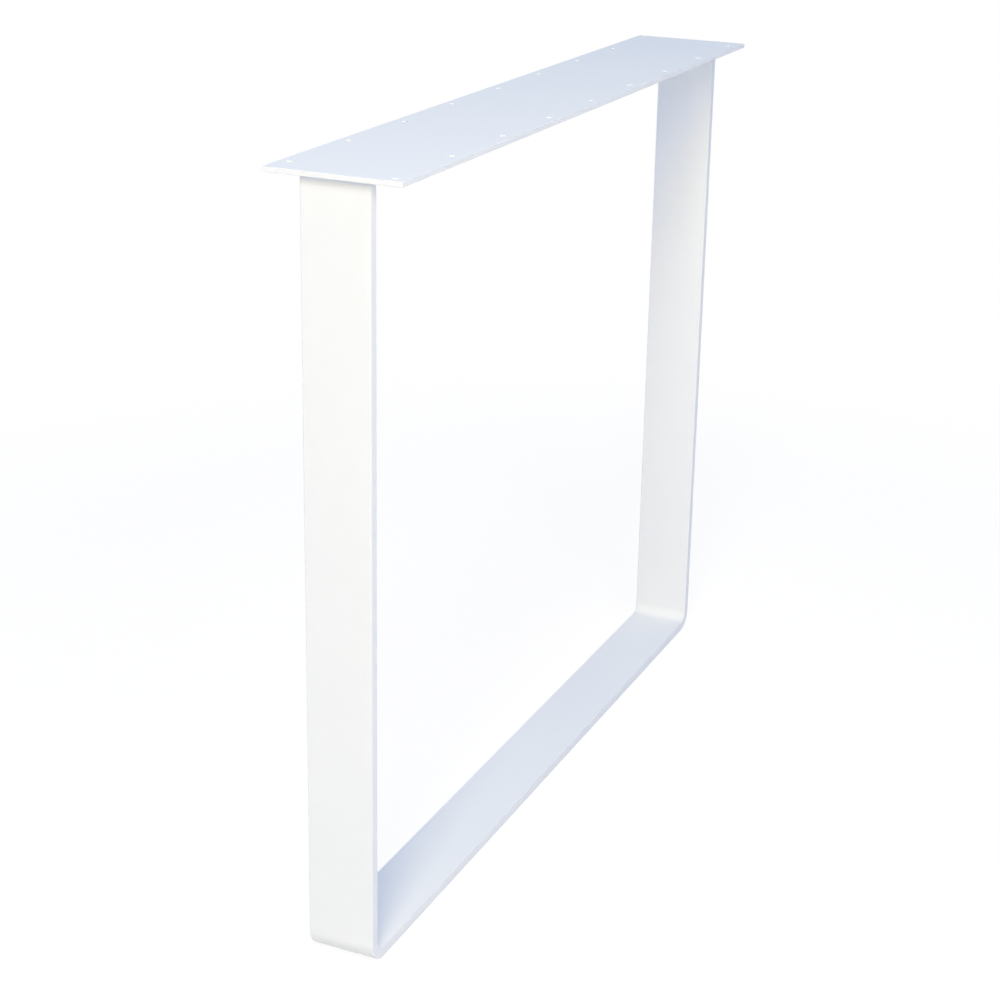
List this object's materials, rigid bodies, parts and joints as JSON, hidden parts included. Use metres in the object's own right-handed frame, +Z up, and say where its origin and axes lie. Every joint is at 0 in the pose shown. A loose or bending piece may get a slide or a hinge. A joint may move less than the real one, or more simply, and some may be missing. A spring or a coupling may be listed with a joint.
{
  "type": "table leg",
  "caption": "U-shaped table leg: a flat steel bar bent into uprights and a floor bar, welded under a flat mounting plate with staggered rows of screw holes along its long edges.",
  "frame": {"origin": "on the floor, under the middle of the floor bar", "axes": "+Z up, Y along the leg from upright to upright, X across the flat bar"},
  "size_m": [0.125, 0.835, 0.711],
  "materials": {
    "white_powder_coat": "smooth satin powder coat, white"
  },
  "bodies": {
    "root": {"u_frame": "white_powder_coat", "mounting_plate": "white_powder_coat", "weld_beads": "white_powder_coat"}
  },
  "joints": []
}
